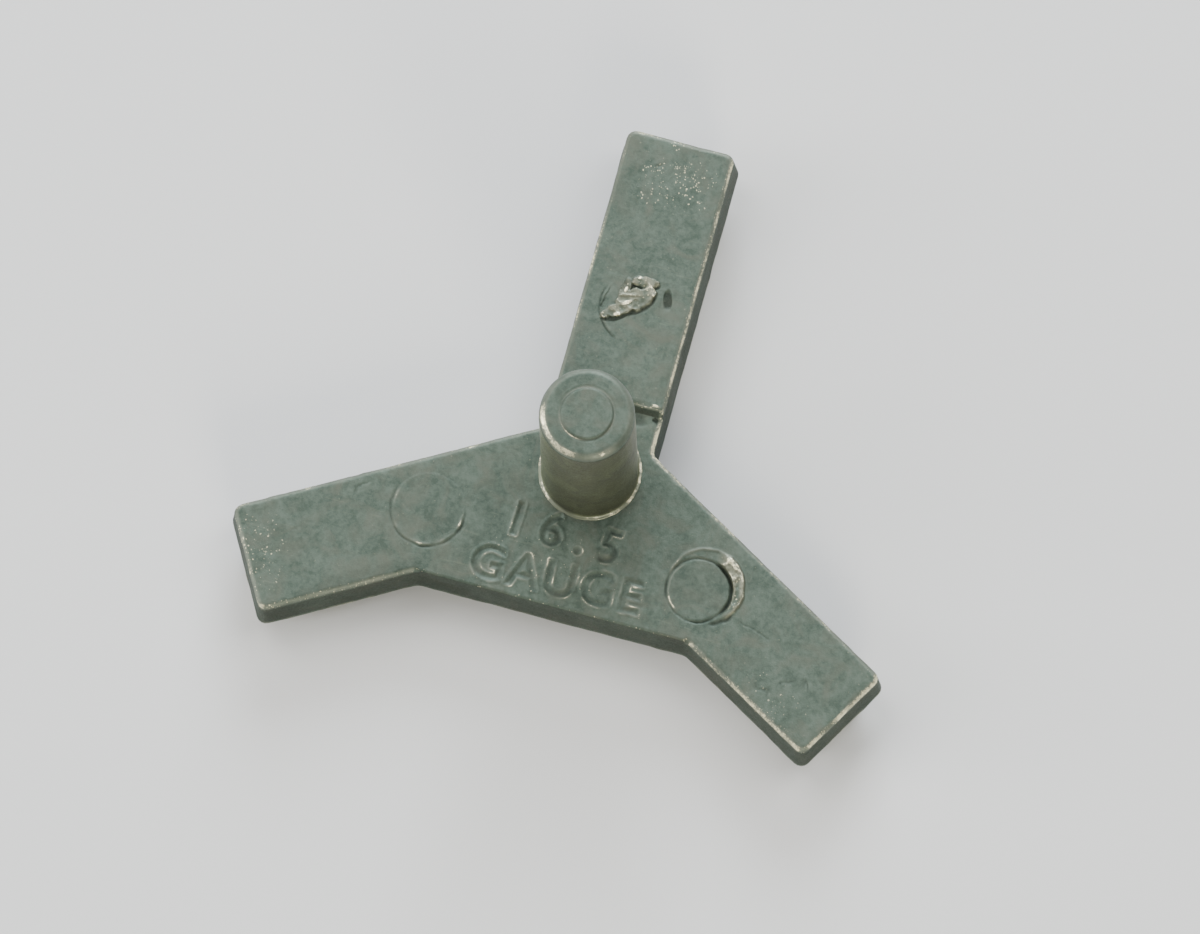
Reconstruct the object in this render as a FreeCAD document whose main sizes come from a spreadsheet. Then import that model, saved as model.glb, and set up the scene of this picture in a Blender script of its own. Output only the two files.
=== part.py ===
"""Three-point track gauge for model railway track: one zinc die casting.

Frame: millimetres, +Z up. The origin is on the knob's axis, at the level of the
feet's undersides. The single arm points along +Y. The paired arms point 30 degrees
below -X and +X, and the web joins them.
"""
import FreeCAD, Part
import math
import os
from types import SimpleNamespace

import Sketcher
from FreeCAD import Placement, Rotation, Vector

NODE = "gauge_casting"

# Driving dimensions, in millimetres and degrees: alias, value, meaning.
DIMENSIONS = [
    ("gauge", 16.5, "distance between the rails' inner faces"),
    ("rail_head", 0.9, "width of a rail's head"),
    ("slot_play", 0.05, "clearance between a rail's head and its slot"),
    ("slot_depth", 1.0, "depth of a rail slot, up from the foot's underside"),
    ("slot_lead", 0.1, "chamfer along the mouth of a rail slot"),
    ("arm_width", 4.2, "width of an arm's top face"),
    ("arm_reach", 13.28, "knob axis to the end of an arm's top face"),
    ("tip_radius", 0.25, "plan radius of an arm's two end corners"),
    ("web_distance", 5.44, "knob axis to the web's front edge"),
    ("web_half_width", 5.5, "half the web's front edge, into the arms"),
    ("web_root_width", 2.0, "half the web's width at its root"),
    ("plate_thickness", 1.75, "thickness of the paired arms and the web"),
    ("edge_radius", 0.1, "rounding of the top edges"),
    ("draft_angle", 5.0, "draft of the walls, wider towards the parting line"),
    ("step_start", 2.6, "knob axis to the step at the single arm's root"),
    ("step_height", 0.24, "height of the single arm's top above the plate's"),
    ("foot_height", 1.2, "height of a foot, from its underside to the plate"),
    ("foot_inner", 9.75, "knob axis to the inner end of a foot's root"),
    ("foot_outer", 12.95, "knob axis to the outer end of a foot's root"),
    ("foot_width", 3.3, "width of a foot at its root"),
    ("foot_draft", 3.0, "draft of a foot's walls, narrower downwards"),
    ("foot_corner", 0.3, "plan radius of a foot's corners"),
    ("knob_height", 8.45, "height of the knob above the plate"),
    ("knob_root_radius", 1.81, "radius of the knob above its root fillet"),
    ("knob_top_radius", 1.75, "radius of the knob below its rounded edge"),
    ("knob_edge_radius", 0.22, "rounding of the knob's top edge"),
    ("rim_radius", 0.2, "hollow fillet between the knob and its rim"),
    ("rim_height", 0.03, "height of the thin rim round the knob's root"),
    ("mark_height", 0.05, "height of the ejector pin marks"),
    ("mark_radius", 1.44, "radius of the marks on the arms"),
    ("mark_distance", 6.35, "knob axis to the centre of each arm's mark"),
    ("knob_mark_radius", 0.97, "radius of the mark on the knob's top"),
    ("overlap", 0.4, "how far an added feature reaches into the one below"),
]

# Direction of each arm, in degrees from +X.
SINGLE_ARM = 90
PAIRED_ARMS = {"left": 210, "right": 330}

# Two positions nearer than this are the same position, in millimetres.
NEAR = 0.01
# The single arm's sharp-edged root lies nearer the knob's axis than this.
ROOT_END = 3.0


class Size:
    """A number together with the sheet expression that gives it."""

    def __init__(self, value, text):
        self.value = value
        self.text = text

    def _combined(self, sign, other, value):
        other_text = other.text if isinstance(other, Size) else str(other)
        return Size(value, f"({self.text} {sign} {other_text})")

    def __add__(self, other):
        return self._combined("+", other, self.value + number(other))

    def __sub__(self, other):
        return self._combined("-", other, self.value - number(other))

    def __mul__(self, other):
        return self._combined("*", other, self.value * number(other))

    def __truediv__(self, other):
        return self._combined("/", other, self.value / number(other))

    def __neg__(self):
        return Size(-self.value, f"(-1 * {self.text})")


def number(value):
    """Return the number in a Size, or a plain number as it is."""
    return value.value if isinstance(value, Size) else value


def make_sheet(doc):
    """Write the driving dimensions into a spreadsheet and return them as Sizes."""
    sheet = doc.addObject("Spreadsheet::Sheet", "dims")
    sizes = SimpleNamespace(zero=Size(0.0, "0"))
    for row, (alias, value, meaning) in enumerate(DIMENSIONS, start=1):
        sheet.set(f"A{row}", alias)
        sheet.set(f"B{row}", str(value))
        sheet.set(f"C{row}", meaning)
        sheet.setAlias(f"B{row}", alias)
        setattr(sizes, alias, Size(value, f"dims.{alias}"))
    doc.recompute()
    sizes.plate_top = sizes.foot_height + sizes.plate_thickness
    sizes.single_top = sizes.plate_top + sizes.step_height
    sizes.slot_width = sizes.rail_head + sizes.slot_play
    # The rails' centre lines are this far apart. The knob's axis is twice as far from
    # the single arm's slot as it is from the line of the paired arms' slots.
    sizes.slot_spacing = sizes.gauge + sizes.rail_head
    sizes.single_slot = sizes.slot_spacing * 2 / 3
    sizes.paired_slot = -sizes.slot_spacing / 3
    return sizes


def make_sketch(body, name, role="XY_Plane", level=None, angle=0.0):
    """Attach an empty sketch to an origin plane, lifted to level and turned by angle."""
    sketch = body.newObject("Sketcher::SketchObject", name)
    planes = [plane for plane in body.Origin.OriginFeatures if plane.Role == role]
    sketch.AttachmentSupport = (planes[0], [""])
    sketch.MapMode = "FlatFace"
    sketch.AttachmentOffset = Placement(Vector(0, 0, 0), Rotation(Vector(0, 0, 1), angle))
    if level is not None:
        sketch.setExpression("AttachmentOffset.Base.z", level.text)
    return sketch


def drive(sketch, kind, where, size):
    """Add one dimensional constraint and bind it to the sheet."""
    index = sketch.addConstraint(Sketcher.Constraint(kind, *where, size.value))
    sketch.setExpression(f"Constraints[{index}]", size.text)


def pin_point(sketch, edge, end, x, y):
    """Hold one end of an edge at the position x, y of the sketch."""
    for kind, axis, size in (("DistanceX", -2, x), ("DistanceY", -1, y)):
        if size.value == 0:
            sketch.addConstraint(Sketcher.Constraint("PointOnObject", edge, end, axis))
        elif size.value > 0:
            drive(sketch, kind, (-1, 1, edge, end), size)
        else:
            drive(sketch, kind, (edge, end, -1, 1), -size)


def add_arc(sketch, start, end, centre):
    """Add the shorter arc from start to end and return its index and end numbers."""
    from_centre, to_centre = start - centre, end - centre
    first = math.atan2(from_centre.y, from_centre.x)
    last = math.atan2(to_centre.y, to_centre.x)
    leftward = from_centre.cross(to_centre).z > 0
    low, high = (first, last) if leftward else (last, first)
    if high < low:
        high += 2 * math.pi
    circle = Part.Circle(centre, Vector(0, 0, 1), from_centre.Length)
    index = sketch.addGeometry(Part.ArcOfCircle(circle, low, high))
    return (index, 1, 2) if leftward else (index, 2, 1)


def draw_outline(sketch, corners):
    """Draw a closed outline whose every corner is bound to the sheet.

    A corner is (x, y), or (x, y, centre_x, centre_y, radius) where the edge that
    leaves it is an arc about that centre.
    """
    edges = []
    for here, following in zip(corners, corners[1:] + corners[:1]):
        start = Vector(here[0].value, here[1].value, 0)
        end = Vector(following[0].value, following[1].value, 0)
        if len(here) == 2:
            edges.append((sketch.addGeometry(Part.LineSegment(start, end)), 1, 2))
        else:
            centre = Vector(here[2].value, here[3].value, 0)
            edges.append(add_arc(sketch, start, end, centre))
    for (edge, _, last), (following, first, _) in zip(edges, edges[1:] + edges[:1]):
        sketch.addConstraint(Sketcher.Constraint("Coincident", edge, last, following, first))
    for (edge, first, _), corner in zip(edges, corners):
        pin_point(sketch, edge, first, corner[0], corner[1])
        if len(corner) > 2:
            drive(sketch, "Radius", (edge,), corner[4])


def box_corners(left, bottom, right, top):
    """Return the four sharp corners of an upright rectangle."""
    return [(left, bottom), (right, bottom), (right, top), (left, top)]


def rounded_right(left, half_width, right, radius):
    """Return a rectangle about the sketch's X axis with its right corners rounded."""
    inner_x, inner_y = right - radius, half_width - radius
    return [
        (left, -half_width),
        (inner_x, -half_width, inner_x, -inner_y, radius),
        (right, -inner_y),
        (right, inner_y, inner_x, inner_y, radius),
        (inner_x, half_width),
        (left, half_width),
    ]


def rounded_all(left, half_width, right, radius):
    """Return a rectangle about the sketch's X axis with four rounded corners."""
    near_x, far_x, inner_y = left + radius, right - radius, half_width - radius
    return [
        (near_x, -half_width),
        (far_x, -half_width, far_x, -inner_y, radius),
        (right, -inner_y),
        (right, inner_y, far_x, inner_y, radius),
        (far_x, half_width),
        (near_x, half_width, near_x, inner_y, radius),
        (left, inner_y),
        (left, -inner_y, near_x, -inner_y, radius),
    ]


def add_pad(body, sketch, name, length, taper=None):
    """Pad a sketch downwards by length, flaring or narrowing by taper."""
    pad = body.newObject("PartDesign::Pad", name)
    pad.Profile = sketch
    pad.Reversed = True
    pad.setExpression("Length", length.text)
    if taper is not None:
        pad.setExpression("TaperAngle", taper.text)
    body.Document.recompute()
    return pad


def add_arm(body, sizes, name, angle, top):
    """Add one arm, from its top face down to the parting line."""
    sketch = make_sketch(body, f"{name}_arm_outline", level=top, angle=angle)
    reach, half_width = sizes.arm_reach, sizes.arm_width / 2
    draw_outline(sketch, rounded_right(sizes.zero, half_width, reach, sizes.tip_radius))
    add_pad(body, sketch, f"{name}_arm", top - sizes.foot_height, sizes.draft_angle)


def add_web(body, sizes):
    """Fill the corner between the paired arms with the lettering's web."""
    sketch = make_sketch(body, "web_outline", level=sizes.plate_top)
    wide, narrow = sizes.web_half_width, sizes.web_root_width
    front, root = -sizes.web_distance, -sizes.web_root_width
    draw_outline(sketch, [(-wide, front), (wide, front), (narrow, root), (-narrow, root)])
    add_pad(body, sketch, "web", sizes.plate_thickness, sizes.draft_angle)


def add_foot(body, sizes, name, angle):
    """Add one foot under an arm's end, narrower downwards."""
    sketch = make_sketch(body, f"{name}_foot_outline", level=sizes.foot_height, angle=angle)
    half_width = sizes.foot_width / 2
    corners = rounded_all(sizes.foot_inner, half_width, sizes.foot_outer, sizes.foot_corner)
    draw_outline(sketch, corners)
    add_pad(body, sketch, f"{name}_foot", sizes.foot_height, -sizes.foot_draft)


def add_mark(body, sizes, name, angle, top):
    """Add the slightly raised disc that an ejector pin left on an arm."""
    sketch = make_sketch(body, f"{name}_mark_outline", level=top + sizes.mark_height, angle=angle)
    circle = Part.Circle(Vector(sizes.mark_distance.value, 0, 0), Vector(0, 0, 1), 1.0)
    index = sketch.addGeometry(circle)
    pin_point(sketch, index, 3, sizes.mark_distance, sizes.zero)
    drive(sketch, "Radius", (index,), sizes.mark_radius)
    add_pad(body, sketch, f"{name}_mark", sizes.mark_height + sizes.overlap)


def cut_pocket(body, sketch, name, length, side):
    """Cut a sketch's outline from the body, and make sure that it cut something."""
    before = body.Shape.Volume
    pocket = body.newObject("PartDesign::Pocket", name)
    pocket.Profile = sketch
    pocket.setExpression("Length", length.text)
    if side == "both":
        pocket.SideType = "Symmetric"
    else:
        pocket.Reversed = True
    body.Document.recompute()
    if body.Shape.Volume > before - NEAR:
        raise ValueError(f"{name} cut nothing")


def cut_step(body, sizes):
    """Lower the single arm's root to the plate's level, with a sloping step."""
    sketch = make_sketch(body, "step_profile", role="YZ_Plane")
    rise = sizes.step_height * 2
    low, high = sizes.plate_top, sizes.plate_top + rise
    start, back = sizes.step_start, -sizes.arm_width
    draw_outline(sketch, [(back, low), (start, low), (start + rise, high), (back, high)])
    cut_pocket(body, sketch, "step", sizes.arm_width * 2, side="both")


def cut_slots(body, sizes):
    """Cut the rails' slots, parallel to X, up into the feet from below."""
    reach, half_width = sizes.arm_reach, sizes.slot_width / 2
    for name, middle in (("single", sizes.single_slot), ("paired", sizes.paired_slot)):
        sketch = make_sketch(body, f"{name}_slot_outline")
        draw_outline(sketch, box_corners(-reach, middle - half_width, reach, middle + half_width))
        cut_pocket(body, sketch, f"{name}_slot", sizes.slot_depth, side="up")


def add_knob(body, sizes):
    """Add the knob, turned about Z, with its rim, root fillet and top mark."""
    sketch = make_sketch(body, "knob_profile", role="XZ_Plane")
    root, mark, edge = sizes.knob_root_radius, sizes.knob_mark_radius, sizes.knob_edge_radius
    bottom, rim_top = sizes.plate_top - sizes.overlap, sizes.plate_top + sizes.rim_height
    rim, fillet_top = root + sizes.rim_radius, rim_top + sizes.rim_radius
    mark_top = sizes.plate_top + sizes.knob_height
    top, shoulder = mark_top - sizes.mark_height, mark_top - sizes.mark_height - edge
    inner = sizes.knob_top_radius - edge
    draw_outline(sketch, [
        (sizes.zero, bottom),
        (rim, bottom),
        (rim, rim_top, rim, fillet_top, sizes.rim_radius),
        (root, fillet_top),
        (sizes.knob_top_radius, shoulder, inner, shoulder, edge),
        (inner, top),
        (mark, top),
        (mark, mark_top),
        (sizes.zero, mark_top),
    ])
    knob = body.newObject("PartDesign::Revolution", "knob")
    knob.Profile = sketch
    knob.ReferenceAxis = (sketch, ["V_Axis"])
    knob.Angle = 360
    body.Document.recompute()


def level_edges(body, level):
    """Return the names of the outer edges at this level, without those of the root."""
    names = []
    for index, edge in enumerate(body.Shape.Edges, start=1):
        box = edge.BoundBox
        flat = abs(box.ZMin - level.value) < NEAR and abs(box.ZMax - level.value) < NEAR
        across_root = box.YLength < NEAR and abs(box.YMax) < ROOT_END
        along_root = box.XLength < NEAR and box.YMax < ROOT_END
        if flat and not across_root and not along_root:
            names.append(f"Edge{index}")
    return names


def round_top_edges(body, sizes, name, level):
    """Round the top face's outer edges at one level."""
    base, names = body.Tip, level_edges(body, level)
    fillet = body.newObject("PartDesign::Fillet", f"{name}_edges")
    fillet.Base = (base, names)
    fillet.setExpression("Radius", sizes.edge_radius.text)
    body.Document.recompute()


def ease_slots(body, sizes):
    """Chamfer the slots' mouths, so that a rail's head finds its way in."""
    half_width = sizes.slot_width.value / 2
    walls = []
    for middle in (sizes.single_slot.value, sizes.paired_slot.value):
        walls += [middle - half_width, middle + half_width]
    names = []
    for index, edge in enumerate(body.Shape.Edges, start=1):
        box = edge.BoundBox
        on_wall = any(abs(box.YMin - y) < NEAR and abs(box.YMax - y) < NEAR for y in walls)
        if on_wall and abs(box.ZMax) < NEAR:
            names.append(f"Edge{index}")
    base = body.Tip
    chamfer = body.newObject("PartDesign::Chamfer", "slot_leads")
    chamfer.Base = (base, names)
    chamfer.setExpression("Size", sizes.slot_lead.text)
    body.Document.recompute()


def make_casting(doc, sizes):
    """Build the whole casting as one body."""
    body = doc.addObject("PartDesign::Body", NODE)
    body.Label = NODE
    add_arm(body, sizes, "single", SINGLE_ARM, sizes.single_top)
    round_top_edges(body, sizes, "single", sizes.single_top)
    cut_step(body, sizes)
    for name, angle in PAIRED_ARMS.items():
        add_arm(body, sizes, name, angle, sizes.plate_top)
    add_web(body, sizes)
    round_top_edges(body, sizes, "paired", sizes.plate_top)
    add_knob(body, sizes)
    add_mark(body, sizes, "single", SINGLE_ARM, sizes.single_top)
    for name, angle in PAIRED_ARMS.items():
        add_mark(body, sizes, name, angle, sizes.plate_top)
    add_foot(body, sizes, "single", SINGLE_ARM)
    for name, angle in PAIRED_ARMS.items():
        add_foot(body, sizes, name, angle)
    cut_slots(body, sizes)
    ease_slots(body, sizes)
    return body


def check_document(doc, parts):
    """Stop if any object failed, or if a sub-part isn't one valid solid."""
    for item in doc.Objects:
        if "Invalid" in item.State or "Error" in item.State:
            raise ValueError(f"{item.Name} is {item.State}")
    for part in parts:
        shape = part.Shape
        if shape.isNull() or not shape.isValid() or len(shape.Solids) != 1:
            raise ValueError(f"{part.Label} isn't one valid solid")


def main():
    """Build the document, check it and write one STEP file for each sub-part."""
    doc = FreeCAD.newDocument("track_gauge")
    sizes = make_sheet(doc)
    parts = [make_casting(doc, sizes)]
    doc.recompute()
    check_document(doc, parts)
    os.makedirs("parts", exist_ok=True)
    for part in parts:
        part.Shape.exportStep(f"parts/{part.Label}.step")
        box = part.Shape.optimalBoundingBox()
        print(part.Label, f"{part.Shape.Volume:.2f} mm3, X {box.XMin:.3f}..{box.XMax:.3f},",
              f"Y {box.YMin:.3f}..{box.YMax:.3f}, Z {box.ZMin:.3f}..{box.ZMax:.3f}")


main()
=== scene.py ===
"""Looks of a three-point track gauge: one dull zinc die casting with a grip knob.

Lengths in the classes are millimetres, in the CAD model's frame: the origin is on the
knob's axis at the feet's undersides, +Z is up and the single arm points along +Y. Each
finished mesh is scaled to metres.
"""
import logging
import math
from dataclasses import dataclass, field
from enum import Enum
from typing import Callable

import bmesh
import bpy
from mathutils import Matrix, Vector, noise
from mathutils.bvhtree import BVHTree
from mathutils.kdtree import KDTree


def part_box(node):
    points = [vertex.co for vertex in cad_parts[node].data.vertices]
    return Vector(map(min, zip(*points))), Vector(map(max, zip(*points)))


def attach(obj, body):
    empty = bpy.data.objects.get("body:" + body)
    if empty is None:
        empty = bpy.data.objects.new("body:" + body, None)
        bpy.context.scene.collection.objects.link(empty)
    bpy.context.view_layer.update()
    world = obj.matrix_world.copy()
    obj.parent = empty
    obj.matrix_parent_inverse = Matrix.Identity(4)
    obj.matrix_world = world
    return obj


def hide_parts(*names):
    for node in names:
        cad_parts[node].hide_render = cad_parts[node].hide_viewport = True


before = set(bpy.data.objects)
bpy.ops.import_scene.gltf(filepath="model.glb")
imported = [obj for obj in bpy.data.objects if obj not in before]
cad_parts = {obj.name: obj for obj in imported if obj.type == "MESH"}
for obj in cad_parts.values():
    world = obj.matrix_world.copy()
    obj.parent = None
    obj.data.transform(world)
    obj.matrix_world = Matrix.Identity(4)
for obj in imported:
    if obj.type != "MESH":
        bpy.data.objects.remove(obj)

LOG = logging.getLogger("track_gauge")

MM = 0.001
NODE = "gauge_casting"
BODY = "root"
KNOB_HEIGHT = 8.45
FOOT_HEIGHT = 1.2

# A face is level when its normal's upward part is above this.
FLAT = 0.95
# Vertices nearer than this are merged, in millimetres.
WELD = 0.004

BMesh = bmesh.types.BMesh
Material = bpy.types.Material
Object = bpy.types.Object
Pair = tuple[float, float]
Triple = tuple[float, float, float]


class Arm(Enum):
    """The three arms, by their direction in degrees from +X."""

    SINGLE = 90
    LEFT = 210
    RIGHT = 330


class Channel(Enum):
    """Per-vertex values that the finishes read."""

    # The first channel holds rub-polished metal together with painted highlights and glints.
    WEAR = "wear"
    TORN = "torn"
    # The third channel holds dirt together with painted shade in grooves, creases, dents and on
    # walls facing away from the lamps.
    SOIL = "soil"
    # The fourth channel holds porous grains, whose few bright ones are painted glints.
    GRIT = "grit"


# ---------------------------------------------------------------- small helpers


def clamp(value: float, low: float = 0.0, high: float = 1.0) -> float:
    """Return value limited to the range from low to high."""
    return max(low, min(high, value))


def smooth(low: float, high: float, value: float) -> float:
    """Return a smooth 0 to 1 ramp of value between low and high."""
    ramp = clamp((value - low) / (high - low))
    return ramp * ramp * (3.0 - 2.0 * ramp)


def rough(place: Vector, per_mm: float, seed: float = 0.0) -> float:
    """Return steady noise from -1 to 1.

    Args:
        place: Position in millimetres.
        per_mm: Number of noise cells in a millimetre.
        seed: Offset that gives each use its own pattern.
    """
    return noise.noise(place * per_mm + Vector((seed, 1.7 * seed, -0.6 * seed)))


def drift(place: Vector, per_mm: float, seed: float) -> Vector:
    """Return a steady sideways shift of up to 1 each way, from noise as in rough()."""
    return Vector((rough(place, per_mm, seed), rough(place, per_mm, seed + 1.0), 0.0))


def bell(offset: float, width: float) -> float:
    """Return 1 where the offset is zero, falling to 0 past about twice the width."""
    return math.exp(-((offset / width) ** 2))


def facing(angle: float, centre: float, spread: float) -> float:
    """Return 1 near the centre angle and 0 past the spread, both in degrees."""
    gap = abs((angle - centre + 180.0) % 360.0 - 180.0)
    return 1.0 - smooth(0.6 * spread, spread, gap)


def crossing(first: Pair, second: Pair) -> Vector:
    """Return where two straight sides of the plate meet.

    Args:
        first: Outward direction in degrees and distance from the knob's axis.
        second: The same for the next side.

    Returns:
        The corner, at level zero.
    """
    a, b = math.radians(first[0]), math.radians(second[0])
    turn = math.sin(b - a)
    across = (first[1] * math.sin(b) - second[1] * math.sin(a)) / turn
    along = (second[1] * math.cos(a) - first[1] * math.cos(b)) / turn
    return Vector((across, along, 0.0))


def add_object(name: str, data: bpy.types.ID | BMesh,
               *materials: Material) -> Object:
    """Add one object to the scene.

    Args:
        name: Its name.
        data: A mesh, curve, light or camera, or a bmesh, which is freed.
        materials: A mesh's finishes.

    Returns:
        The object.
    """
    if isinstance(data, BMesh):
        mesh = bpy.data.meshes.new(name)
        data.to_mesh(mesh)
        data.free()
        data = mesh
    for material in materials:
        data.materials.append(material)
    item = bpy.data.objects.new(name, data)
    bpy.context.scene.collection.objects.link(item)
    return item


def finish_mesh(bm: BMesh, name: str,
                *materials: Material) -> Object:
    """Turn a finished bmesh into a smooth-shaded piece in metres.

    Args:
        bm: The mesh in millimetres; it is freed.
        name: Name of the piece.
        materials: Its finishes, in the order of the faces' material numbers.

    Returns:
        The piece, riding on the casting's body.
    """
    for face in bm.faces:
        face.smooth = True
    bmesh.ops.scale(bm, vec=(MM, MM, MM), verts=bm.verts)
    low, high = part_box(NODE)
    for vert in bm.verts:
        vert.co = [clamp(*item) for item in zip(vert.co, low, high)]
    piece = add_object(name, bm, *materials)
    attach(piece, BODY)
    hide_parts(NODE)
    LOG.info("%s: %d faces", name, len(piece.data.polygons))
    return piece


def channel_layers(bm: BMesh) -> dict[Channel, bmesh.types.BMLayerItem]:
    """Return the mesh's layer for each channel, making those that are missing."""
    floats = bm.verts.layers.float
    return {item: floats.get(item.value) or floats.new(item.value) for item in Channel}


def round_edges(bm: BMesh, edges: list[bmesh.types.BMEdge], radius: float,
                segments: int = 4, limited: bool = True) -> list[bmesh.types.BMFace]:
    """Round some edges.

    Args:
        bm: The mesh.
        edges: The edges.
        radius: How far the rounding reaches on each side.
        segments: Faces across each rounding.
        limited: Whether roundings stop where they would overlap.

    Returns:
        The new faces.
    """
    made = bmesh.ops.bevel(bm, geom=edges, offset=radius, offset_type="OFFSET", profile=0.5,
                           segments=segments, affect="EDGES", material=-1, clamp_overlap=limited)
    return made["faces"]


def raise_face(bm: BMesh, face: bmesh.types.BMFace, height: float, draft: float) -> None:
    """Lift a face and draw it in, so that drafted walls stand under it."""
    bmesh.ops.inset_region(bm, faces=[face], thickness=draft * height, depth=height,
                           use_even_offset=True, use_boundary=True)


def slice_across(bm: BMesh, axis: int, low: float, high: float, pitch: float) -> None:
    """Cut every face along evenly spaced planes, so that it can be shaped finely.

    Args:
        bm: The mesh.
        axis: 0, 1 or 2 for planes across X, Y or Z.
        low: Where the planes start.
        high: Where they end.
        pitch: Distance between planes.
    """
    normal = Vector((0.0, 0.0, 0.0))
    normal[axis] = 1.0
    for index in range(1, int((high - low) / pitch) + 1):
        place = normal * (low + index * pitch)
        geometry = bm.verts[:] + bm.edges[:] + bm.faces[:]
        bmesh.ops.bisect_plane(bm, geom=geometry, dist=WELD / 4, plane_co=place, plane_no=normal)


def refine(bm: BMesh, inside: Callable[[Vector], bool], cuts: int) -> None:
    """Subdivide the level faces of one zone.

    Args:
        bm: The mesh.
        inside: Tells whether a place is in the zone.
        cuts: New points on each edge.
    """
    edges = [
        edge for edge in bm.edges
        if all(inside(vert.co) for vert in edge.verts)
        and all(face.normal.z > FLAT for face in edge.link_faces)
    ]
    bmesh.ops.subdivide_edges(bm, edges=edges, cuts=cuts, use_grid_fill=True)


# ---------------------------------------------------------------- surface marks


@dataclass
class Relief:
    """What the surface does at one place: its height and its channels."""

    height: float = 0.0
    wear: float = 0.0
    torn: float = 0.0
    soil: float = 0.0
    grit: float = 0.0

    def add(self, other: "Relief") -> None:
        """Add another relief to this one, keeping the stronger channels."""
        self.height += other.height
        for channel in Channel:
            stronger = max(getattr(self, channel.value), getattr(other, channel.value))
            setattr(self, channel.value, stronger)


class Mark:
    """A feature of the plate's level surface. This one does nothing."""

    def zone(self, place: Vector) -> bool:
        """Tell whether a place is close enough to need fine faces."""
        return False

    def relief(self, place: Vector) -> Relief:
        """Return the mark's relief at a place."""
        return Relief()


@dataclass(frozen=True)
class Circle:
    """A circle on the plate."""

    x: float
    y: float
    radius: float

    def gap(self, place: Vector) -> float:
        """Return how far outside the circle a place is; inside it is negative."""
        return (place.xy - Vector((self.x, self.y))).length - self.radius

    def angle(self, place: Vector) -> float:
        """Return a place's direction from the circle's middle, in degrees from +X."""
        return math.degrees(math.atan2(place.y - self.y, place.x - self.x))


@dataclass
class PinMark(Mark):
    """The round print of an ejector pin: a disc with a hairline groove round it, painted darker in
    the groove as shade and with painted glints on its lip.
    """

    ring: Circle
    lift: float = 0.012
    groove_depth: float = 0.05
    groove_width: float = 0.045
    lip_inset: float = 0.10
    lip_width: float = 0.05
    lip_height: float = 0.02
    strong_side: float = 255.0
    strong_spread: float = 150.0
    shine: float = 1.0
    seed: float = 1.0
    fine_reach: float = 0.25
    reach: float = 0.35

    def zone(self, place: Vector) -> bool:
        """Tell whether a place is close enough to need fine faces."""
        return abs(self.ring.gap(place)) < self.fine_reach

    def relief(self, place: Vector) -> Relief:
        """Return the mark's relief at a place."""
        wobble = 0.03 * rough(place, 1.3, self.seed) + 0.02 * rough(place, 4.0, self.seed)
        gap = self.ring.gap(place) + wobble
        if gap > self.reach:
            return Relief()
        strength = facing(self.ring.angle(place), self.strong_side, self.strong_spread)
        strength *= clamp(0.55 + 1.1 * rough(place, 1.8, self.seed + 3.0))
        groove = strength * bell(gap, self.groove_width)
        groove *= clamp(1.0 + 0.8 * rough(place, 5.0, self.seed + 8.0))
        lip = strength * bell(gap + self.lip_inset, self.lip_width)
        disc = 1.0 - smooth(-0.06, 0.0, gap)
        height = self.lift * disc - self.groove_depth * groove + self.lip_height * lip
        # Painted glints on the lip, and painted shade darkening the groove.
        glint = clamp(self.shine * lip * (0.60 + 2.0 * rough(place, 3.4, self.seed + 5.0)))
        return Relief(height, wear=glint, soil=groove, grit=0.7 * lip * self.shine)


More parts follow.
